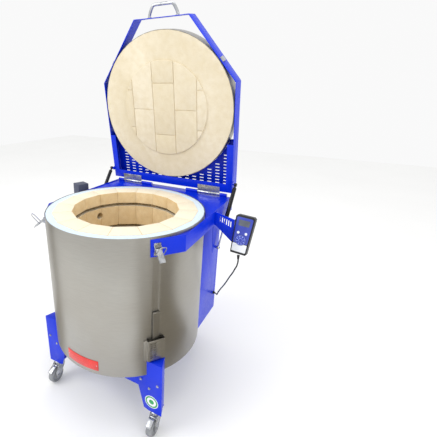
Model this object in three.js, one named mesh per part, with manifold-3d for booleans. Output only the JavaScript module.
// Top-loading electric pottery kiln on castors, with its lid standing open.
// Millimetres, +Z up, front of the kiln towards -Y. Heights in the named values are measured from
// the floor unless they say otherwise.
//
// The chamber is built as a potter's kiln is: staves of insulating firebrick stand in two courses
// on a brick floor, each stave grooved twice for a heating element, and a ceramic fibre blanket
// fills the space between the bricks and a stainless steel shell. A hexagonal steel frame carries
// the lid's own disc of bricks and swings on two barrel hinges, held by a pair of gas struts.
import * as THREE from 'three';
import { mergeVertices } from 'three/addons/utils/BufferGeometryUtils.js';
import Module from 'manifold-3d';

const wasm = await Module();
wasm.setup();

const degrees = THREE.MathUtils.degToRad;

// ---------------------------------------------------------------- driving dimensions
const ROUND = 48; // facets of the large round pieces
const FIT = 0.3; // gap kept between pieces that seat against each other
const SHEET = 2.5; // painted steel sheet of the frame, collar, cabinet and lid

const BODY_R = 325; // outside radius of the stainless shell
const SHELL_T = 1.5;
const BODY_Z = 284; // underside of the shell
const BRICK_L = 230; // standard firebrick: 230 x 114 x 76
const BRICK_T = 76;
const COURSES = 2;
const FLOOR_FIBRE_T = 40; // fibre board under the brick floor
const STAVES = 16;
const CHAMBER_R = 216; // from the axis to the flat face of a stave
const JOINT_W = 2.4; // chamfered joint between two bricks
const JOINT_D = 2;

const GROOVE_H = 15; // element groove, cut into the face of the staves
const GROOVE_D = 24;
const GROOVES_UP_BRICK = [60, 170]; // heights of the two grooves in one brick
const COIL_R = 6; // outside radius of a wound element
const TAIL_R = 2.5; // element tail that passes through the wall
const TAIL_AZ = 5; // degrees either side of the back
const TAIL_OUT = 34; // how far a tail stands out of the shell

const PORT_AZ = -110.5; // exhaust port, degrees round from the front, clockwise from above
const PORT_DROP = 104; // port axis below the rim
const PORT_R = 16;

const RIM_Z = BODY_Z + 2 + FLOOR_FIBRE_T + BRICK_T + COURSES * BRICK_L;
const CHAMBER_FLOOR_Z = RIM_Z - COURSES * BRICK_L;
const STAVE = (2 * Math.PI) / STAVES;
const CORNER = 1 / Math.cos(STAVE / 2); // from a flat's radius to a corner's

const HINGE_Y = 379; // hinge axis behind the kiln's axis, level with the rim
const LID_TRAVEL = 81.3; // degrees from standing open to shut
const LID_DEPTH = 63; // height of the lid's side walls
const LID_FRONT_Y = -367; // front wall of the shut lid
const LID_DISC_R = 321;
const LID_SEAT = 0.5; // bricks clear the rim by this when shut
const PLUG_R = 208; // raised middle of the lid that drops into the chamber
const PLUG_H = 7;

const COLLAR_GAP = 0.5; // collar round the shell
const DIAGONAL_AZ = 51.5; // azimuth that the collar's and the lid's diagonals face
const COLLAR_R = BODY_R + COLLAR_GAP + SHEET; // outside of the collar's flats
const COLLAR_TOP = RIM_Z - 8;
const COLLAR_H = 65;
const DECK_REAR_Y = 400;
const DECK_T = SHEET;

const CABINET_X = 268; // half width of the control cabinet behind the kiln
const CABINET_REAR_Y = 430;
const CABINET_Z = BODY_Z - 72;

const LEG_Z = 105; // underside of a leg, where its castor is fixed
const FRONT_LEG_TOP = BODY_Z + 67;
const WHEEL_R = 37.5;
const WHEEL_W = 28;
const TRAIL = 29; // wheel axle ahead of the swivel
const FRONT_SWIVEL = [268, -202];
const REAR_SWIVEL = [150, 345];

const STRUT_X = 345; // both gas struts lie in planes this far from the middle
const STRUT_LOW = [190, RIM_Z - 178]; // y, z of the pivot on the collar
const STRUT_TOP = [367, RIM_Z + 59]; // y, z of the pivot on the lid, lid open

const FOOTPRINT_CENTRE = [46.5, 57.5]; // middle of the overall box, seen from the kiln's axis

// ---------------------------------------------------------------- materials
const metal = (color, roughness) =>
  new THREE.MeshStandardMaterial({ color, roughness, metalness: 1 });
const dull = (color, roughness) =>
  new THREE.MeshStandardMaterial({ color, roughness, metalness: 0 });

const STAINLESS = metal(0x9a9890, 0.35);
const BRIGHT = metal(0xc8cacc, 0.25);
const BLUE = dull(0x0135e1, 0.35);
const FIREBRICK = dull(0xe6d2a8, 0.95);
const FIBRE = dull(0xdde8f0, 0.95);
const COIL = metal(0x736759, 0.6);
const DUCT_GREY = dull(0x3e4357, 0.5);
const BLACK = dull(0x16171a, 0.4);
const GALVANISED = metal(0x8f9498, 0.45);
const PORCELAIN = dull(0xe9e4d8, 0.5);
const GREY_TYRE = dull(0x8b8d90, 0.6);
const WHITE = dull(0xf2f4f6, 0.3);
const STRUT_BLACK = dull(0x141416, 0.3);

// ---------------------------------------------------------------- solids
function weld(geometry) {
  const plain = geometry.clone();
  plain.deleteAttribute('normal');
  plain.deleteAttribute('uv');
  return mergeVertices(plain, 1e-4);
}

function toSolid(geometry) {
  const merged = weld(geometry);
  return new wasm.Manifold(new wasm.Mesh({
    numProp: 3,
    vertProperties: new Float32Array(merged.attributes.position.array),
    triVerts: new Uint32Array(merged.index.array),
  }));
}

function toGeometry(solid) {
  const mesh = solid.getMesh();
  const geometry = new THREE.BufferGeometry();
  geometry.setAttribute('position', new THREE.BufferAttribute(mesh.vertProperties, 3));
  geometry.setIndex(new THREE.BufferAttribute(mesh.triVerts, 1));
  geometry.computeVertexNormals();
  return geometry;
}

function join(first, ...others) {
  return toGeometry(others.reduce((sum, other) => sum.add(toSolid(other)), toSolid(first)));
}

function cut(base, ...tools) {
  return toGeometry(tools.reduce((left, tool) => left.subtract(toSolid(tool)), toSolid(base)));
}

// A block between two corners.
function block(x0, x1, y0, y1, z0, z1) {
  const geometry = new THREE.BoxGeometry(x1 - x0, y1 - y0, z1 - z0);
  return geometry.translate((x0 + x1) / 2, (y0 + y1) / 2, (z0 + z1) / 2);
}

// A round bar or disc along X, Y or Z between two places on that axis, through (a, b) on the
// other two.
function bar(axis, from, to, radius, a = 0, b = 0, sides = 16) {
  const geometry = new THREE.CylinderGeometry(radius, radius, to - from, sides);
  const middle = (from + to) / 2;
  if (axis === 'x') return geometry.rotateZ(-Math.PI / 2).translate(middle, a, b);
  if (axis === 'y') return geometry.translate(a, middle, b);
  return geometry.rotateX(Math.PI / 2).translate(a, b, middle);
}

// A solid of revolution about Z from a closed profile of [radius, z] points.
function turned(profile, sides, phase = 0) {
  const points = profile.map(([r, z]) => new THREE.Vector2(r, z));
  const area = profile.reduce((sum, [r, z], i) => {
    const [r2, z2] = profile[(i + 1) % profile.length];
    return sum + r * z2 - r2 * z;
  }, 0);
  if (area < 0) points.reverse();
  points.push(points[0].clone());
  return new THREE.LatheGeometry(points, sides, phase).rotateX(Math.PI / 2);
}

// A ring with square edges.
function ring(outer, inner, z0, z1, sides, phase = 0) {
  return turned([[inner, z0], [outer, z0], [outer, z1], [inner, z1]], sides, phase);
}

// An outline in X and Y, raised from z0 to z1, with holes given as further outlines.
function slab(outline, z0, z1, holes = []) {
  const shape = new THREE.Shape(outline.map(([x, y]) => new THREE.Vector2(x, y)));
  for (const hole of holes) {
    shape.holes.push(new THREE.Path(hole.map(([x, y]) => new THREE.Vector2(x, y))));
  }
  const settings = { depth: z1 - z0, bevelEnabled: false };
  return new THREE.ExtrudeGeometry(shape, settings).translate(0, 0, z0);
}

// A sheet that stands upright: an outline in X and Z, from y0 to y1.
function upright(outline, y0, y1, holes = []) {
  return slab(outline, -y1, -y0, holes).rotateX(Math.PI / 2);
}

// A cheek that faces sideways: an outline in Y and Z, from x0 to x1.
function cheek(outline, x0, x1, holes = []) {
  return slab(outline, x0, x1, holes).rotateX(Math.PI / 2).rotateZ(Math.PI / 2);
}

// Points round a circle, counter-clockwise from above.
function circle(radius, count, x = 0, y = 0, phase = 0) {
  return Array.from({ length: count }, (_, i) => {
    const angle = phase + (2 * Math.PI * i) / count;
    return [x + radius * Math.cos(angle), y + radius * Math.sin(angle)];
  });
}

const rectangle = (x0, x1, y0, y1) => [[x0, y0], [x1, y0], [x1, y1], [x0, y1]];

// A round tube swept along hand-placed points.
function swept(points, radius, sides, steps) {
  const path = new THREE.CatmullRomCurve3(points.map((p) => new THREE.Vector3(...p)));
  const section = new THREE.Shape(circle(radius, sides).map(([x, y]) => new THREE.Vector2(x, y)));
  return new THREE.ExtrudeGeometry(section, { steps, extrudePath: path });
}

// Turns a piece made at the front of the kiln, facing -Y, round to an azimuth.
const faceAzimuth = (geometry, azimuth) => geometry.rotateZ(degrees(azimuth));

const mirrored = (geometry) => {
  const copy = geometry.clone().scale(-1, 1, 1);
  const index = copy.index ? copy.index.array : null;
  if (index) {
    for (let i = 0; i < index.length; i += 3) [index[i], index[i + 1]] = [index[i + 1], index[i]];
    return copy;
  }
  const position = copy.attributes.position;
  for (let i = 0; i < position.count; i += 3) {
    for (let k = 0; k < 3; k += 1) {
      const held = position.getComponent(i, k);
      position.setComponent(i, k, position.getComponent(i + 1, k));
      position.setComponent(i + 1, k, held);
    }
  }
  return copy;
};

const kiln = new THREE.Group();
kiln.position.set(-FOOTPRINT_CENTRE[0], -FOOTPRINT_CENTRE[1], 0);

function add(name, geometry, material, parent = kiln) {
  const mesh = new THREE.Mesh(geometry, material);
  mesh.name = name;
  parent.add(mesh);
}

// Adds a right-hand piece and its mirror image on the left.
function addPair(name, geometry, material, parent = kiln) {
  add(`${name}_right`, geometry, material, parent);
  add(`${name}_left`, mirrored(geometry), material, parent);
}

// ---------------------------------------------------------------- chamber
const PAN_T = 1.2;
const PAN_LIP = 14;
const LINING_R = BODY_R - SHELL_T - PAN_T - 2 * FIT; // outside of the fibre
const BRICK_OUT = CHAMBER_R + BRICK_T; // flat's radius at the back of a stave
const ELEMENT_R = CHAMBER_R + GROOVE_D - COIL_R - 3; // coil's middle
const coursesZ = Array.from({ length: COURSES }, (_, i) => CHAMBER_FLOOR_Z + i * BRICK_L);
const groovesZ = coursesZ.flatMap((z) => GROOVES_UP_BRICK.map((up) => z + up));
const JOINT_PHASE = Math.PI / 2; // a stave joint lies at the very back

// Corners of the staves, from the flat's radius.
const staveCorners = (flat) => circle(flat * CORNER, STAVES, 0, 0, JOINT_PHASE);

// The staves' inner outline, notched at every joint.
function chamberOutline() {
  return staveCorners(CHAMBER_R).flatMap(([x, y]) => {
    const reach = Math.hypot(x, y);
    const [ux, uy] = [x / reach, y / reach];
    const half = JOINT_W / 2;
    const back = half * Math.tan(STAVE / 2);
    const side = (k, r) => [ux * r - uy * k, uy * r + ux * k];
    return [side(-half, reach - back), side(0, reach + JOINT_D), side(half, reach - back)];
  });
}

// A hole through the wall at an azimuth, from inside the chamber to outside the shell.
function wallHole(azimuth, z, radius, from = CHAMBER_R - 10, to = BODY_R + 10, sides = 12) {
  return faceAzimuth(bar('y', -to, -from, radius, 0, z, sides), azimuth);
}

function tailHoles(z, radius, to) {
  return [-TAIL_AZ, TAIL_AZ].map((turn) => wallHole(180 + turn, z, radius, ELEMENT_R - 2, to, 6));
}

const PORT_Z = RIM_Z - PORT_DROP;
const PROBE_Z = CHAMBER_FLOOR_Z + 0.5 * BRICK_L; // thermocouple, half way up the lower course
const PROBE_R = 4;
const PROBE_AZ = 166;

function brickCourse(z, top) {
  const wall = slab(staveCorners(BRICK_OUT), z + FIT, top, [chamberOutline()]);
  const grooves = GROOVES_UP_BRICK.map((up) => {
    const lip = CHAMBER_R - 8;
    const deep = CHAMBER_R + GROOVE_D;
    const section = [
      [lip * CORNER, z + up - GROOVE_H / 2],
      [deep * CORNER, z + up - GROOVE_H / 2 - 2],
      [deep * CORNER, z + up + GROOVE_H / 2],
      [lip * CORNER, z + up + GROOVE_H / 2],
    ];
    return turned(section, STAVES);
  });
  const holes = GROOVES_UP_BRICK.flatMap((up) => tailHoles(z + up, TAIL_R + 1.5, BODY_R + 10));
  if (PORT_Z > z && PORT_Z < top) holes.push(wallHole(PORT_AZ, PORT_Z, PORT_R, CHAMBER_R - 20));
  if (PROBE_Z > z && PROBE_Z < top) holes.push(wallHole(PROBE_AZ, PROBE_Z, PROBE_R + 1));
  return cut(wall, ...grooves, ...holes);
}

// A wound element with its two tails, which run out through the back of the wall.
function element(z) {
  const r = ELEMENT_R * CORNER;
  const section = circle(COIL_R, 8, r, z, Math.PI / 8);
  const tails = tailHoles(z, TAIL_R, BODY_R + TAIL_OUT);
  return join(turned(section, STAVES), ...tails);
}

function fibreBlanket() {
  const board = slab(circle(LINING_R, ROUND), BODY_Z + PAN_T + FIT, BODY_Z + PAN_T + FLOOR_FIBRE_T);
  const wall = slab(circle(LINING_R, ROUND), BODY_Z + FLOOR_FIBRE_T, RIM_Z - 1,
    [staveCorners(BRICK_OUT + FIT).reverse()]);
  const holes = groovesZ.flatMap((z) => tailHoles(z, TAIL_R + 1.5, BODY_R + 10));
  holes.push(wallHole(PORT_AZ, PORT_Z, SPIGOT_R + 1, BRICK_OUT - 10, BODY_R + 10, 20));
  holes.push(wallHole(PROBE_AZ, PROBE_Z, PROBE_R + 1));
  return cut(join(board, wall), ...holes);
}

// A blank plate bent to the shell's curve, low on the front.
const PLATE_T = 1.2;
const PLATE_REACH = 13.5; // degrees either side of the front
const PLATE_Z = BODY_Z + 17;
const PLATE_H = 45;

function frontPlate() {
  const arc = (r, count = 8) => Array.from({ length: count + 1 }, (_, i) => {
    const angle = degrees(-90 - PLATE_REACH + (2 * PLATE_REACH * i) / count);
    return [r * Math.cos(angle), r * Math.sin(angle)];
  });
  return slab([...arc(BODY_R + PLATE_T), ...arc(BODY_R - 1).reverse()], PLATE_Z, PLATE_Z + PLATE_H);
}

function shell() {
  const skin = join(ring(BODY_R, BODY_R - SHELL_T, BODY_Z, RIM_Z, ROUND), frontPlate());
  const holes = groovesZ.flatMap((z) => tailHoles(z, TAIL_R + 3, BODY_R + 10));
  holes.push(wallHole(PORT_AZ, PORT_Z, SPIGOT_R + 1, BODY_R - 10, BODY_R + 10, 20));
  holes.push(wallHole(PROBE_AZ, PROBE_Z, PROBE_R + 1));
  holes.push(wallHole(INLET_AZ, INLET_PORT_Z, INLET_PORT_R, BODY_R - 10));
  return cut(skin, ...holes);
}

function basePan() {
  const r = BODY_R - SHELL_T - FIT;
  const foot = BODY_Z + PAN_T;
  return turned([[0, BODY_Z], [r, BODY_Z], [r, BODY_Z + PAN_LIP], [r - PAN_T, BODY_Z + PAN_LIP],
    [r - PAN_T, foot], [0, foot]], ROUND);
}

// Exhaust: a square flue box beside the shell and the round spigot that joins it to the port.
const SPIGOT_R = 20;
const DUCT_W = 54;
const DUCT_T = 2;
const DUCT_R = 391; // duct's middle from the kiln's axis
const DUCT_TOP = RIM_Z + 20;
const DUCT_H = 160;

function exhaustDuct() {
  const half = DUCT_W / 2;
  const outer = block(-half, half, -DUCT_R - half, -DUCT_R + half, DUCT_TOP - DUCT_H, DUCT_TOP);
  const bore = block(-half + DUCT_T, half - DUCT_T, -DUCT_R - half + DUCT_T,
    -DUCT_R + half - DUCT_T, DUCT_TOP - DUCT_H - 10, DUCT_TOP - DUCT_T);
  const inside = BRICK_OUT + 6;
  const spigot = bar('y', -DUCT_R + half - DUCT_T - 1, -inside, SPIGOT_R, 0, PORT_Z, 20);
  const throat = bar('y', -DUCT_R, -inside + 10, SPIGOT_R - DUCT_T, 0, PORT_Z, 20);
  return faceAzimuth(cut(join(cut(outer, bore), spigot), throat), PORT_AZ);
}

// Air inlet: a louvred cover over a port low in the shell, and the slide that opens it.
const INLET_AZ = 52.5;
const INLET_Z = BODY_Z + 74;
const INLET_H = 91;
const INLET_W = 70;
const INLET_DEPTH = 12;
const INLET_PORT_R = 15;
const INLET_PORT_Z = INLET_Z + 26;
const INLET_T = 1.5;
const SLIDE_W = 27;
const SLIDE_TOP = BODY_Z + 284;
const SLIDE_FOOT = INLET_Z + INLET_H - 22;

function inletCover() {
  const half = INLET_W / 2;
  const face = -BODY_R - INLET_DEPTH;
  const back = -BODY_R + 3;
  const outer = block(-half, half, face, back, INLET_Z, INLET_Z + INLET_H);
  const hollow = block(-half + INLET_T, half - INLET_T, face + INLET_T, back + 10,
    INLET_Z + INLET_T, INLET_Z + INLET_H + 5);
  const flange = block(-half - 12, -half + 1, -BODY_R - 4, -BODY_R + 3, INLET_Z, INLET_Z + INLET_H);
  const slots = [];
  for (let row = 0; row < 8; row += 1) {
    const z = INLET_Z + 12 + row * 9.2;
    for (const x of [-24, -10]) {
      slots.push(block(x, x + 11, face - 5, face + INLET_T + 3, z, z + 3.2));
    }
  }
  const shellTool = bar('z', BODY_Z, RIM_Z, BODY_R + FIT, 0, 0, ROUND);
  const box = cut(join(outer, flange), hollow, ...slots);
  return cut(faceAzimuth(box, INLET_AZ), shellTool);
}

function inletSlide() {
  const back = -BODY_R - 3.2;
  const plate = block(-SLIDE_W / 2, SLIDE_W / 2, back - 1.5, back, SLIDE_FOOT, SLIDE_TOP);
  const pull = block(-SLIDE_W / 2, SLIDE_W / 2, back - 8, back - 1, SLIDE_TOP - 2, SLIDE_TOP);
  const rib = block(-SLIDE_W / 2, -SLIDE_W / 2 + 1.5, back - 5, back - 1,
    INLET_Z + INLET_H + 24, SLIDE_TOP);
  return faceAzimuth(join(plate, pull, rib), INLET_AZ);
}

function buildChamber() {
  add('shell', shell(), STAINLESS);
  add('base_pan', basePan(), GALVANISED);
  add('fibre_blanket', fibreBlanket(), FIBRE);
  add('floor_bricks', slab(staveCorners(BRICK_OUT), BODY_Z + PAN_T + FLOOR_FIBRE_T + FIT,
    CHAMBER_FLOOR_Z), FIREBRICK);
  coursesZ.forEach((z, i) => {
    const level = ['lower', 'upper'][i] ?? `extra_${i - 1}`;
    add(`brick_course_${level}`, brickCourse(z, z + BRICK_L), FIREBRICK);
  });
  groovesZ.forEach((z, i) => add(`element_${i + 1}`, element(z), COIL));
  const probe = wallHole(PROBE_AZ, PROBE_Z, PROBE_R, CHAMBER_R - 30, BODY_R + 20, 8);
  const head = wallHole(PROBE_AZ, PROBE_Z, 14, BODY_R + 19, BODY_R + 48, 12);
  add('thermocouple', join(probe, head), PORCELAIN);
  add('exhaust_duct', exhaustDuct(), DUCT_GREY);
  add('inlet_cover', inletCover(), STAINLESS);
  add('inlet_slide', inletSlide(), STAINLESS);
}

// ---------------------------------------------------------------- frame and legs
const BEAM_TOP = BODY_Z - FIT;
const BEAM_H = 69;
const FRAME_FRONT_Y = -224;
const LEG_INNER_X = 197;
const LEG_A = [235, FRAME_FRONT_Y];
const LEG_B = [302.5, FRAME_FRONT_Y];
const LEG_C = [281, -163];
const REAR_LEG_W = 62;

// A front leg: one folded sheet, whose front face runs down past the shell and whose outer face
// turns back round it, shut by a sloping cap and by the plate that the castor is fixed to.
function frontLeg() {
  const front = upright([
    [LEG_A[0], FRONT_LEG_TOP], [LEG_A[0], BEAM_TOP], [LEG_INNER_X + FIT, BEAM_TOP],
    [LEG_INNER_X + FIT, BODY_Z - 70], [223, LEG_Z + 6], [243, LEG_Z],
    [LEG_B[0], LEG_Z], [LEG_B[0], FRONT_LEG_TOP],
  ], LEG_B[1], LEG_B[1] + SHEET);
  const [bx, by] = LEG_B;
  const [cx, cy] = LEG_C;
  const length = Math.hypot(cx - bx, cy - by);
  const [nx, ny] = [(cy - by) / length * SHEET, -(cx - bx) / length * SHEET];
  const side = slab([[bx, by], [cx, cy], [cx - nx, cy - ny], [bx - nx, by]], LEG_Z, FRONT_LEG_TOP);
  const cap = slab([LEG_A, LEG_B, LEG_C], FRONT_LEG_TOP - SHEET, FRONT_LEG_TOP);
  const foot = slab([[243, by], LEG_B, [cx + 6, cy - 17], [cx + 6, -172], [243, -172]],
    LEG_Z, LEG_Z + 4);
  const shellTool = bar('z', BODY_Z - 1, RIM_Z, BODY_R + FIT, 0, 0, ROUND);
  return cut(join(front, side, cap, foot), shellTool);
}

// The welded base: a front beam between the legs, two bearers back under the shell, a rear beam
// and two box legs for the rear castors.
function baseFrame() {
  const z0 = BEAM_TOP - BEAM_H;
  const rear = REAR_SWIVEL[1] + REAR_LEG_W / 2;
  const pieces = [
    block(-LEG_INNER_X, LEG_INNER_X, FRAME_FRONT_Y, FRAME_FRONT_Y + SHEET, z0, BEAM_TOP),
    block(-LEG_INNER_X, LEG_INNER_X, FRAME_FRONT_Y, FRAME_FRONT_Y + 30, BEAM_TOP - SHEET, BEAM_TOP),
    block(-REAR_SWIVEL[0] - REAR_LEG_W / 2, REAR_SWIVEL[0] + REAR_LEG_W / 2,
      rear - 30, rear, BEAM_TOP - 30, BEAM_TOP - FIT),
  ];
  for (const side of [-1, 1]) {
    const x = side * REAR_SWIVEL[0];
    pieces.push(block(x - 15, x + 15, FRAME_FRONT_Y + 1, rear - 1, BEAM_TOP - 40, BEAM_TOP));
    pieces.push(block(x - REAR_LEG_W / 2, x + REAR_LEG_W / 2, REAR_SWIVEL[1] - REAR_LEG_W / 2,
      rear, LEG_Z, BEAM_TOP - 1));
  }
  const hollows = [-1, 1].map((side) => {
    const x = side * REAR_SWIVEL[0];
    const half = REAR_LEG_W / 2 - SHEET;
    return block(x - half, x + half, REAR_SWIVEL[1] - half, rear + 5, LEG_Z + 4, BEAM_TOP - 45);
  });
  return cut(join(...pieces), ...hollows);
}

// ---------------------------------------------------------------- castors
const AXLE_R = 4;
const FORK_GAP = WHEEL_W / 2 + 1.5;
const FORK_T = 2.5;
const CROWN_R = 23;

// A swivel fork with its axle: the crown turns under the leg's foot plate.
function castorFork(x, y, braked) {
  const top = LEG_Z - FIT;
  const axleY = y - TRAIL;
  const crown = turned([[0, top], [CROWN_R - 6, top], [CROWN_R, top - 4], [CROWN_R, top - 11],
    [CROWN_R - 3, top - 14], [0, top - 14]], 16).translate(x, y, 0);
  const outline = [[y + 17, top - 11], [y - 20, top - 11], [axleY - 14, WHEEL_R + 24],
    [axleY - 11, WHEEL_R - 9], [axleY, WHEEL_R - 14], [axleY + 11, WHEEL_R - 9],
    [y + 13, top - 34]].reverse();
  const cheeks = [-1, 1].map((side) => {
    const inner = x + side * FORK_GAP;
    return cheek(outline, Math.min(inner, inner + side * FORK_T), Math.max(inner, inner + side * FORK_T));
  });
  const reach = FORK_GAP + FORK_T + 4;
  const axle = bar('x', x - reach, x + reach, AXLE_R, axleY, WHEEL_R, 12);
  const bridge = block(x - FORK_GAP - 1, x + FORK_GAP + 1, y - 21, y + 16, top - 14, top - 11);
  const parts = [crown, ...cheeks, axle, bridge];
  if (braked) {
    parts.push(bar('x', x - FORK_GAP - 1, x + FORK_GAP + 1, 2.5, axleY + PEDAL_Y, PEDAL_Z, 8));
  }
  return join(...parts);
}

const PEDAL_Z = WHEEL_R + 44; // the pedal's pin, above and behind the axle
const PEDAL_Y = 4;

function castorWheel(x, y) {
  const half = WHEEL_W / 2;
  const right = [[AXLE_R + 0.4, half], [12, half], [15, half - 4], [28, half - 4],
    [WHEEL_R - 3, half], [WHEEL_R, half - 4]];
  const left = right.map(([r, z]) => [r, -z]).reverse();
  const flats = 20;
  const corner = 1 / Math.cos(Math.PI / flats);
  const profile = [...right, ...left].map(([r, z]) => [r * corner, z]);
  const wheel = turned(profile, flats, Math.PI / flats).rotateY(Math.PI / 2);
  return wheel.translate(x, y - TRAIL, WHEEL_R);
}

// The brake pedal hangs on the cross pin at the front of its fork and treads down on the wheel.
function brakePedal(x, y) {
  const pinY = y - TRAIL + PEDAL_Y;
  const hub = cut(bar('x', x - 11, x + 11, 5, pinY, PEDAL_Z, 12),
    bar('x', x - 12, x + 12, 2.9, pinY, PEDAL_Z, 8));
  const tread = cheek([[pinY - 3.5, PEDAL_Z + 1], [pinY - 3.5, PEDAL_Z + 4], [pinY - 14, PEDAL_Z + 5],
    [pinY - 40, PEDAL_Z - 8], [pinY - 42, PEDAL_Z - 13], [pinY - 39, PEDAL_Z - 12],
    [pinY - 14, PEDAL_Z + 1]].reverse(), x - 11, x + 11);
  return join(hub, tread);
}

function buildBase() {
  add('base_frame', baseFrame(), BLUE);
  addPair('front_leg', frontLeg(), BLUE);
  const places = { front: FRONT_SWIVEL, rear: REAR_SWIVEL };
  for (const [end, [x, y]] of Object.entries(places)) {
    for (const [side, sign] of [['right', 1], ['left', -1]]) {
      add(`castor_fork_${end}_${side}`, castorFork(sign * x, y, end === 'front'), BRIGHT);
      add(`castor_wheel_${end}_${side}`, castorWheel(sign * x, y), GREY_TYRE);
      if (end === 'front') add(`brake_pedal_${side}`, brakePedal(sign * x, y), BRIGHT);
    }
  }
}

// ---------------------------------------------------------------- collar, deck and cabinet
const diagonal = degrees(DIAGONAL_AZ);

// Where the diagonal flat that lies `r` from the axis crosses the side flat, and a point on that
// diagonal for a given y.
const bendY = (r) => (-r * (1 - Math.sin(diagonal))) / Math.cos(diagonal);
const diagonalX = (r, y) => (r + y * Math.cos(diagonal)) / Math.sin(diagonal);
const COLLAR_FRONT_Y = -217;

// The right-hand collar: a strap folded round the shell, with the cheek that the strut hangs on.
function collar() {
  const inner = COLLAR_R - SHEET;
  const z0 = COLLAR_TOP - COLLAR_H;
  const strap = slab([
    [COLLAR_R, DECK_REAR_Y], [inner, DECK_REAR_Y], [inner, bendY(inner)],
    [diagonalX(inner, COLLAR_FRONT_Y + 1.6), COLLAR_FRONT_Y + 1.6],
    [diagonalX(COLLAR_R, COLLAR_FRONT_Y), COLLAR_FRONT_Y], [COLLAR_R, bendY(COLLAR_R)],
  ], z0, COLLAR_TOP);
  const [py, pz] = STRUT_LOW;
  const tab = cheek([[py - 34, z0 + 2], [py - 22, pz - 22], [py + 22, pz - 22], [py + 56, z0 + 2]],
    inner, COLLAR_R);
  const stud = bar('x', COLLAR_R - 1, STRUT_X - EYE_W / 2 - FIT, 6, py, pz, 12);
  const pin = bar('x', COLLAR_R - 1, STRUT_X + EYE_W / 2 + 1.5, 3.5, py, pz, 12);
  const edge = COLLAR_R - 1;
  const rear = COLLAR_FRONT_Y + 40;
  const web = slab([[edge, 0], [inner - 60, 0], [inner - 60, rear], [diagonalX(edge, rear), rear],
    [edge, bendY(edge)]].reverse(), DECK_TOP - DECK_T, DECK_TOP);
  const bite = bar('z', DECK_TOP - 20, DECK_TOP + 5, BODY_R + COLLAR_GAP, 0, 0, ROUND);
  return join(strap, tab, stud, pin, cut(web, bite));
}

const KNUCKLE_R = 7.5;
const PIN_R = 5;
const KNUCKLES = [[98, 158], [273, 305]]; // along X, on the deck
const SLEEVE = [160, 270]; // along X, on the lid
const DECK_TOP = RIM_Z - 12;
const DECK_BITE_R = BODY_R + 3; // cut-out round the shell

// The deck closes the space behind the shell and carries the hinge knuckles.
function hingeDeck() {
  const edge = COLLAR_R - SHEET - FIT;
  const bite = bar('z', DECK_TOP - 20, DECK_TOP + 5, DECK_BITE_R, 0, 0, ROUND);
  const front = Math.sqrt(DECK_BITE_R ** 2 - edge ** 2) + 8;
  const plate = slab(rectangle(-edge, edge, front, DECK_REAR_Y), DECK_TOP - DECK_T, DECK_TOP);
  const parts = [];
  const bores = [];
  for (const side of [-1, 1]) {
    for (const [from, to] of KNUCKLES) {
      const [x0, x1] = side > 0 ? [from, to] : [-to, -from];
      parts.push(bar('x', x0, x1, KNUCKLE_R, HINGE_Y, RIM_Z, 16));
      parts.push(block(x0, x1, HINGE_Y - 4, HINGE_Y + KNUCKLE_R, DECK_TOP - 1, RIM_Z - PIN_R - 1));
      bores.push(bar('x', x0 - 2, x1 + 2, PIN_R + FIT, HINGE_Y, RIM_Z, 16));
    }
  }
  return cut(join(cut(plate, bite), ...parts), ...bores);
}

// The deck reaches the collar on both sides, and the cabinet hangs below it.
function cabinetShell() {
  const top = DECK_TOP - DECK_T - FIT;
  const y0 = Math.sqrt((BODY_R + 1) ** 2 - CABINET_X ** 2) + 4;
  const y1 = CABINET_REAR_Y - SHEET - FIT;
  const sides = [-1, 1].map((side) => {
    const outer = side * CABINET_X;
    const inner = side * (CABINET_X - SHEET);
    return block(Math.min(outer, inner), Math.max(outer, inner), y0, y1, CABINET_Z, top);
  });
  const flanges = [-1, 1].map((side) => {
    const outer = side * CABINET_X;
    const inner = side * (CABINET_X - 22);
    return block(Math.min(outer, inner), Math.max(outer, inner), y1 - SHEET, y1, CABINET_Z, top);
  });
  const floorY = REAR_SWIVEL[1] + REAR_LEG_W / 2 + FIT;
  const floor = block(-CABINET_X, CABINET_X, floorY, y1, CABINET_Z, CABINET_Z + SHEET);
  const roof = block(-CABINET_X, CABINET_X, DECK_REAR_Y - 12, y1, top - SHEET, top);
  const hole = bar('x', CABINET_X - 20, CABINET_X + 20, GLAND_R - 3, CORD_END[1], CORD_END[2], 12);
  return cut(join(...sides, ...flanges, floor, roof), hole);
}

function cabinetBack() {
  const top = DECK_TOP - DECK_T - FIT;
  const slots = [];
  for (let row = 0; row < 6; row += 1) {
    for (const side of [-1, 1]) {
      const x = side * 150;
      for (const foot of [CABINET_Z + 60, top - 150]) {
        const z = foot + row * 16;
        slots.push(block(x - 60, x + 60, CABINET_REAR_Y - 10, CABINET_REAR_Y + 10, z, z + 5));
      }
    }
  }
  return cut(block(-CABINET_X, CABINET_X, CABINET_REAR_Y - SHEET, CABINET_REAR_Y,
    CABINET_Z, top), ...slots);
}

// Switchgear on its mounting plate: two contactors, and the terminal block for the element tails.
function switchgear() {
  const y = CABINET_REAR_Y - 52;
  const plate = block(-190, 190, y, y + 2, CABINET_Z + 150, CABINET_Z + 450);
  const contactors = [-180, -120].map((x) => block(x, x + 45, y - 40, y + 1,
    CABINET_Z + 190, CABINET_Z + 275));
  const terminals = block(-46, 46, BODY_R + TAIL_OUT + FIT, y + 1, groovesZ[0] - 18,
    groovesZ[groovesZ.length - 1] + 18);
  return join(plate, terminals, ...contactors);
}

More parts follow.
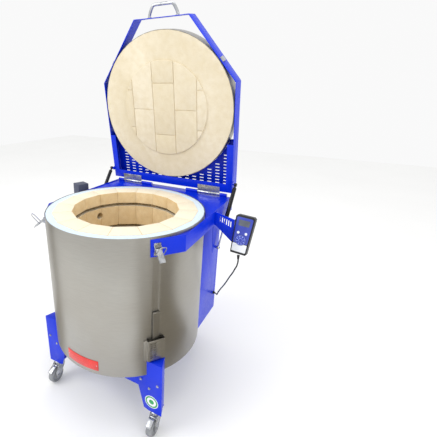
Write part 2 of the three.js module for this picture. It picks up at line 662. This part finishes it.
// ---------------------------------------------------------------- hand controller and its cord
const CASE_LOW = [446, 130, RIM_Z - 157]; // middle of the case's lower front edge
const CASE_L = 156;
const CASE_T = 32;
const CASE_BOTTOM_W = 64;
const CASE_TOP_W = 77;
const CASE_LEAN = 13; // degrees back from upright
const CASE_ROLL = 3.5;
const CORD_R = 3;
const GLAND_R = 9;
const CORD_END = [CABINET_X, 402, BODY_Z + 30];
const CORD_POINTS = [
  [447, 142, 694], [449, 138, 680], [449, 137, 665], [445, 142, 645], [436, 152, 623],
  [422, 172, 589], [403, 201, 550], [379, 237, 496], [359, 268, 455], [339, 298, 416],
  [324, 321, 385], [312, 342, 358], [304, 361, 337], [297, 379, 323], [290, 393, 316],
  [281, 401, 314],
];

const controller = new THREE.Group();
controller.position.set(...CASE_LOW);
controller.rotation.set(degrees(-CASE_LEAN), degrees(CASE_ROLL), 0);

const caseHalfWidth = (up) => (CASE_BOTTOM_W + (CASE_TOP_W - CASE_BOTTOM_W) * (up / CASE_L)) / 2;
const KEY_R = 5.5;
const KEY_X = 15.5;
const KEY_UP = 86;
const KEYPAD_UP = 57;
const KEYPAD_R = 21;

function controllerCase() {
  const bottom = caseHalfWidth(0);
  const top = caseHalfWidth(CASE_L);
  const corner = 7;
  const outline = [[-bottom + 3, 0], [bottom - 3, 0], [bottom, 3], [top, CASE_L - corner],
    [top - corner, CASE_L], [-top + corner, CASE_L], [-top, CASE_L - corner], [-bottom, 3]];
  const body = upright(outline, 0, CASE_T);
  const inset = outline.map(([x, z]) => [x * 0.9, 6 + (z * (CASE_L - 12)) / CASE_L]);
  const face = upright(inset, -2, 0.5);
  const wells = [-KEY_X, KEY_X].map((x) => bar('y', -3, 5, KEY_R + 0.4, x, KEY_UP, 16));
  const pad = bar('y', -3.4, 0, KEYPAD_R, 0, KEYPAD_UP, 24);
  const display = upright(rectangle(-24, 24, 112, 140), -3, -0.8);
  return cut(join(body, face, pad), ...wells, display);
}

function controllerBracket() {
  const x0 = COLLAR_R + FIT;
  const x1 = 412;
  const y = 167;
  const slots = [];
  for (let i = 0; i < 6; i += 1) {
    const x = x0 + 22 + i * 9;
    const z = RIM_Z - 48 - i * 3.4;
    slots.push(block(x, x + 4, y - 10, y + 10, z, z + 24));
  }
  const top = RIM_Z - 12;
  const arm = upright([[x0, top - 56], [x0 + 6, top - 58], [x1, top - 120], [x1, top - 18],
    [x0, top]], y - SHEET / 2, y + SHEET / 2);
  const fold = block(x1 - SHEET, x1, y - 1, y + 32, top - 118, top - 20);
  const foot = block(x0, x0 + SHEET, y - 1, y + 26, top - 54, top - 2);
  return join(cut(arm, ...slots), fold, foot);
}

function buildControls() {
  addPair('collar', collar(), BLUE);
  add('hinge_deck', hingeDeck(), BLUE);
  const pin = bar('x', KNUCKLES[0][0] + 1, KNUCKLES[1][1] + 2, PIN_R, HINGE_Y, RIM_Z, 16);
  addPair('hinge_pin', pin, BRIGHT);
  add('cabinet_shell', cabinetShell(), BLUE);
  add('cabinet_back', cabinetBack(), BLUE);
  add('switchgear', switchgear(), GALVANISED);
  add('controller_bracket', controllerBracket(), BLUE);
  kiln.add(controller);
  add('controller_case', controllerCase(), BLACK, controller);
  for (const [name, x] of [['key_start', -KEY_X], ['key_stop', KEY_X]]) {
    add(name, bar('y', -4, 3, KEY_R, x, KEY_UP, 16), WHITE, controller);
  }
  const gland = join(bar('x', CABINET_X - 8, CABINET_X + 11, GLAND_R - 3.4, CORD_END[1], CORD_END[2], 12),
    bar('x', CABINET_X + FIT, CABINET_X + 5, GLAND_R, CORD_END[1], CORD_END[2], 6));
  add('cord_gland', gland, BLACK);
  add('controller_cord', swept(CORD_POINTS, CORD_R, 8, 40), BLACK);
}

// ---------------------------------------------------------------- lid
// Modelled shut, with the hinge axis through the group's origin, then swung open.
const lid = new THREE.Group();
lid.position.set(0, HINGE_Y, RIM_Z);
lid.rotation.x = degrees(-LID_TRAVEL);

const AXIS_Y = -HINGE_Y; // the kiln's axis, seen from the hinge
const LID_REAR_Y = -14;
const LIP_W = 41;
const SIDE_LIP_W = 30;
const SIDE_LIP_REACH = 240; // from the hinge axis forward
const BAND_R = LID_DISC_R + FIT + 1.5;
const PANEL_UP = 55;
const PANEL_REACH = 250;
const LID_LOW = 0.8; // the frame's lower edge above the hinge axis

// The lid's outline, `inset` inside the outside faces, as the shut lid is seen from above.
function lidOutline(inset) {
  const r = COLLAR_R - inset;
  const front = LID_FRONT_Y + inset;
  const rear = LID_REAR_Y - inset;
  return [[r, rear], [-r, rear], [-r, bendY(r) + AXIS_Y], [-diagonalX(r, front), front + AXIS_Y],
    [diagonalX(r, front), front + AXIS_Y], [r, bendY(r) + AXIS_Y]];
}

// Seven upright slots in each diagonal wall, near the front corner.
function diagonalSlots() {
  const tools = [];
  for (const side of [-1, 1]) {
    for (let i = 0; i < 7; i += 1) {
      const along = 214 - i * 13; // from the point of the diagonal nearest the kiln's axis
      const slot = block(along - 2, along + 2, -COLLAR_R - 5, -COLLAR_R + SHEET + 5,
        LID_LOW + 9, LID_LOW + 54);
      const placed = slot.rotateZ(degrees(DIAGONAL_AZ)).translate(0, AXIS_Y, 0);
      tools.push(side > 0 ? placed : mirrored(placed));
    }
  }
  return tools;
}

function lidFrame() {
  const top = LID_LOW + LID_DEPTH;
  const walls = slab(lidOutline(0), LID_LOW, top, [lidOutline(SHEET).reverse()]);
  const edge = COLLAR_R - 1;
  const lip = block(-edge, edge, LID_REAR_Y - LIP_W, LID_REAR_Y - 1, LID_LOW, LID_LOW + SHEET);
  const sideLips = [-1, 1].map((side) => {
    const [a, b] = [side * edge, side * (COLLAR_R - SIDE_LIP_W)];
    return block(Math.min(a, b), Math.max(a, b), -SIDE_LIP_REACH, LID_REAR_Y - 1,
      LID_LOW, LID_LOW + SHEET);
  });
  const corner = diagonalX(COLLAR_R, LID_FRONT_Y) - 18;
  const front = LID_FRONT_Y + AXIS_Y;
  const dips = [[top - 11, top + 1], [LID_LOW - 1, LID_LOW + 11]].map(([z0, z1]) => {
    const slope = 10;
    const [low, high] = z0 > 30 ? [corner - slope, corner] : [corner, corner - slope];
    return upright([[-low, z0], [low, z0], [high, z1], [-high, z1]], front - 5, front + 8);
  });
  const stud = strutStud();
  return cut(join(walls, lip, ...sideLips, stud, mirrored(stud)), ...dips, ...diagonalSlots());
}

// The rear louvre plate closes the corners between the brick disc and the frame.
function lidPanel() {
  const edge = COLLAR_R - SHEET - FIT;
  const plate = rectangle(-edge, edge, -PANEL_REACH, LID_REAR_Y - SHEET - FIT);
  const slots = [];
  const clear = BAND_R + 9;
  for (let column = 0; column < 7; column += 1) {
    const x = 37 + column * 40;
    for (let s = 32; s < PANEL_REACH - 12; s += 15.5) {
      const near = Math.hypot(x - 10, -s - 4 - AXIS_Y);
      if (near > clear) {
        for (const centre of [x, -x]) {
          slots.push(block(centre - 10, centre + 10, -s - 4, -s, PANEL_UP - 5, PANEL_UP + 5));
        }
      }
    }
  }
  const bite = bar('z', PANEL_UP - 5, PANEL_UP + 5, BAND_R + FIT + 0.5, 0, AXIS_Y, ROUND);
  return cut(slab(plate, PANEL_UP, PANEL_UP + 2), bite, ...slots);
}

// The lid's disc of firebricks, cemented edge to edge, with the raised plug and its joints.
function lidBricks() {
  const disc = bar('z', LID_SEAT, LID_DEPTH, LID_DISC_R, 0, AXIS_Y, ROUND);
  const plug = turned([[0, -PLUG_H + LID_SEAT], [PLUG_R - 2, -PLUG_H + LID_SEAT],
    [PLUG_R, -PLUG_H + 2.5], [PLUG_R, LID_SEAT + 1], [0, LID_SEAT + 1]], 48)
    .translate(0, AXIS_Y, 0);
  const face = -PLUG_H + LID_SEAT;
  const depth = 4;
  const half = 2.6;
  const column = 107.5;
  const groove = [[-half, face - 1], [half, face - 1], [0, face + depth]];
  const tools = [];
  for (const x of [-1.5, -0.5, 0.5, 1.5].map((k) => k * column)) {
    const reach = Math.sqrt(PLUG_R ** 2 - x ** 2) + 2;
    tools.push(upright(groove.map(([dx, z]) => [x + dx, z]), AXIS_Y - reach, AXIS_Y + reach));
  }
  const crossings = [[0, 114], [0, -114], [1, 0], [-1, 0], [2, 85], [2, -85], [-2, 85], [-2, -85]];
  for (const [k, y] of crossings) {
    const x0 = (k - 0.5) * column;
    tools.push(cheek(groove.map(([dy, z]) => [AXIS_Y + y + dy, z]), x0, x0 + column));
  }
  return cut(join(disc, plug), ...tools);
}

const HANDLE_R = 6.5;

function lidHandle() {
  const wall = LID_FRONT_Y + AXIS_Y;
  const z = LID_LOW + LID_DEPTH / 2;
  const half = [[66, 0.8], [66, 6], [62.5, 17], [54, 34], [47, 43], [36, 46]];
  const right = half.map(([x, out]) => [x, wall - out, z]);
  const left = half.map(([x, out]) => [-x, wall - out, z]).reverse();
  return swept([...right, [0, wall - half[half.length - 1][1], z], ...left], HANDLE_R, 8, 26);
}

// The hook that the latch's wire loop pulls down, on the outside of the diagonal wall.
const LATCH_ALONG = 8; // from the diagonal's point nearest the axis towards the front
const LATCH_W = 26;

function keeper() {
  const wall = -COLLAR_R;
  const hook = cheek([[wall - FIT, 6], [wall - FIT, 34], [wall - 2, 34], [wall - 2, 20],
    [wall - 8, 16], [wall - 8, 26], [wall - 10, 26], [wall - 10, 13], [wall - 2, 10],
    [wall - 2, 6]], LATCH_ALONG - 10, LATCH_ALONG + 10);
  return hook.rotateZ(degrees(DIAGONAL_AZ)).translate(0, AXIS_Y, 0);
}

function hingeSleeve() {
  const [x0, x1] = SLEEVE;
  const sleeve = bar('x', x0, x1, KNUCKLE_R, 0, 0, 16);
  const leaf = block(x0, x1, -38, -4, -2, LID_LOW - FIT);
  return cut(join(sleeve, leaf), bar('x', x0 - 2, x1 + 2, PIN_R + FIT, 0, 0, 16));
}

// The stud on the lid's side wall that the strut's upper end belongs to. It stands on a lug
// that reaches below the wall, outside the collar.
function strutStud() {
  const [y, z] = lidPoint(STRUT_TOP);
  const lug = 9;
  const outside = COLLAR_R + FIT;
  return join(block(COLLAR_R - 1, COLLAR_R + 3, y - lug, y + lug, LID_LOW + 0.5, LID_LOW + 16),
    bar('x', outside, COLLAR_R + 3, lug, y, z, 12),
    bar('x', outside, STRUT_X - EYE_W / 2 - 1.5, 3.5, y, z, 12));
}

// A place given with the lid open, as it lies in the shut lid's own frame.
function lidPoint([y, z]) {
  const turn = degrees(LID_TRAVEL);
  const [dy, dz] = [y - HINGE_Y, z - RIM_Z];
  return [dy * Math.cos(turn) - dz * Math.sin(turn), dy * Math.sin(turn) + dz * Math.cos(turn)];
}

function buildLid() {
  kiln.add(lid);
  add('lid_frame', lidFrame(), BLUE, lid);
  add('lid_panel', lidPanel(), BLUE, lid);
  add('lid_band', ring(BAND_R, LID_DISC_R + FIT, 2, LID_DEPTH, ROUND).translate(0, AXIS_Y, 0),
    STAINLESS, lid);
  add('lid_bricks', lidBricks(), FIREBRICK, lid);
  add('lid_handle', lidHandle(), BRIGHT, lid);
  addPair('keeper', keeper(), BRIGHT, lid);
  addPair('hinge_sleeve', hingeSleeve(), BRIGHT, lid);
}

// ---------------------------------------------------------------- toggle latches
const LATCH_Z = COLLAR_TOP - 36; // lever's pivot
const LATCH_OUT = 9; // lever's pivot in front of the collar
const BAIL_R = 1.8;

const atLatch = (geometry) => faceAzimuth(geometry, DIAGONAL_AZ);

function latchBase() {
  const wall = -COLLAR_R - FIT;
  const [x0, x1] = [LATCH_ALONG - LATCH_W / 2, LATCH_ALONG + LATCH_W / 2];
  const plate = block(x0, x1, wall - 1.5, wall, LATCH_Z - 24, LATCH_Z + 22);
  const ears = [x0, x1 - 1.5].map((x) => cheek([[wall - 1, LATCH_Z - 12], [wall - 1, LATCH_Z + 12],
    [wall - LATCH_OUT - 4, LATCH_Z + 5], [wall - LATCH_OUT - 4, LATCH_Z - 5]], x, x + 1.5));
  const pin = bar('x', x0 - 1, x1 + 1, 2, wall - LATCH_OUT, LATCH_Z, 8);
  return atLatch(join(plate, ...ears, pin));
}

// The lever hangs open, standing out from the collar.
function latchLever() {
  const y = -COLLAR_R - FIT - LATCH_OUT;
  const [x0, x1] = [LATCH_ALONG - LATCH_W / 2 + 2.2, LATCH_ALONG + LATCH_W / 2 - 2.2];
  const hub = bar('x', x0, x1, 4, y, LATCH_Z, 12);
  const arm = cheek([[y + 1, LATCH_Z - 3.5], [y - 2, LATCH_Z + 2.5], [y - 34, LATCH_Z - 22],
    [y - 40, LATCH_Z - 29], [y - 36, LATCH_Z - 29], [y - 30, LATCH_Z - 25]], x0, x1);
  return atLatch(cut(join(hub, arm), bar('x', x0 - 2, x1 + 2, 2.3, y, LATCH_Z, 8)));
}

// The wire loop's ends turn in to the lever's sides.
const BAIL_AT = [-15, -10]; // its pivot, seen from the lever's: outwards, up

function latchBail() {
  const y = -COLLAR_R - FIT - LATCH_OUT + BAIL_AT[0];
  const z = LATCH_Z + BAIL_AT[1];
  const half = LATCH_W / 2 + 1;
  const x = LATCH_ALONG;
  const points = [[x - half, y, z], [x - half, y - 12, z + 16], [x - half + 2, y - 25, z + 33],
    [x - half + 8, y - 28, z + 37], [x, y - 28, z + 37], [x + half - 8, y - 28, z + 37],
    [x + half - 2, y - 25, z + 33], [x + half, y - 12, z + 16], [x + half, y, z]];
  const ends = [-1, 1].map((side) => {
    const inner = x + side * (LATCH_W / 2 - 2.2 + FIT);
    const outer = x + side * (half + BAIL_R);
    return bar('x', Math.min(inner, outer), Math.max(inner, outer), BAIL_R, y, z, 6);
  });
  return atLatch(join(swept(points, BAIL_R, 6, 20), ...ends));
}

function buildLatches() {
  addPair('latch_base', latchBase(), BRIGHT);
  addPair('latch_lever', latchLever(), BRIGHT);
  addPair('latch_bail', latchBail(), BRIGHT);
}

// ---------------------------------------------------------------- gas struts
const EYE_R = 7.5;
const EYE_W = 11;
const ROD_R = 4;
const TUBE_R = 9;
const TUBE_BORE = 5;
const TUBE_L = 150;
const TUBE_TOP_GAP = 14; // from the upper pivot to the tube's shut end
const ROD_L = 186;

// Both pieces are modelled along +Z from the lower pivot, then leaned to the upper one.
function buildStruts() {
  const [y0, z0] = STRUT_LOW;
  const [y1, z1] = STRUT_TOP;
  const length = Math.hypot(y1 - y0, z1 - z0);
  const lean = Math.atan2(-(y1 - y0), z1 - z0);
  const place = (geometry) => geometry.rotateX(lean).translate(STRUT_X, y0, z0);
  const eye = (z) => bar('x', -EYE_W / 2, EYE_W / 2, EYE_R, 0, z, 16);
  const rodEye = cut(eye(0), bar('x', -EYE_W, EYE_W, 3.8, 0, 0, 12));
  const rod = join(rodEye, bar('z', EYE_R - 1, ROD_L, ROD_R, 0, 0, 12));
  const tubeTop = length - TUBE_TOP_GAP;
  const tube = turned([[TUBE_BORE, tubeTop - TUBE_L], [TUBE_R - 1, tubeTop - TUBE_L],
    [TUBE_R, tubeTop - TUBE_L + 2], [TUBE_R, tubeTop - 3], [TUBE_R - 3, tubeTop], [0, tubeTop],
    [0, tubeTop - 8], [TUBE_BORE, tubeTop - 8]], 16);
  const cylinder = join(tube, bar('z', tubeTop - 4, length - EYE_R + 1, 4, 0, 0, 10), eye(length));
  addPair('strut_rod', place(rod), BRIGHT);
  addPair('strut_cylinder', place(cylinder), STRUT_BLACK);
}

buildChamber();
buildBase();
buildControls();
buildLid();
buildLatches();
buildStruts();

export default kiln;
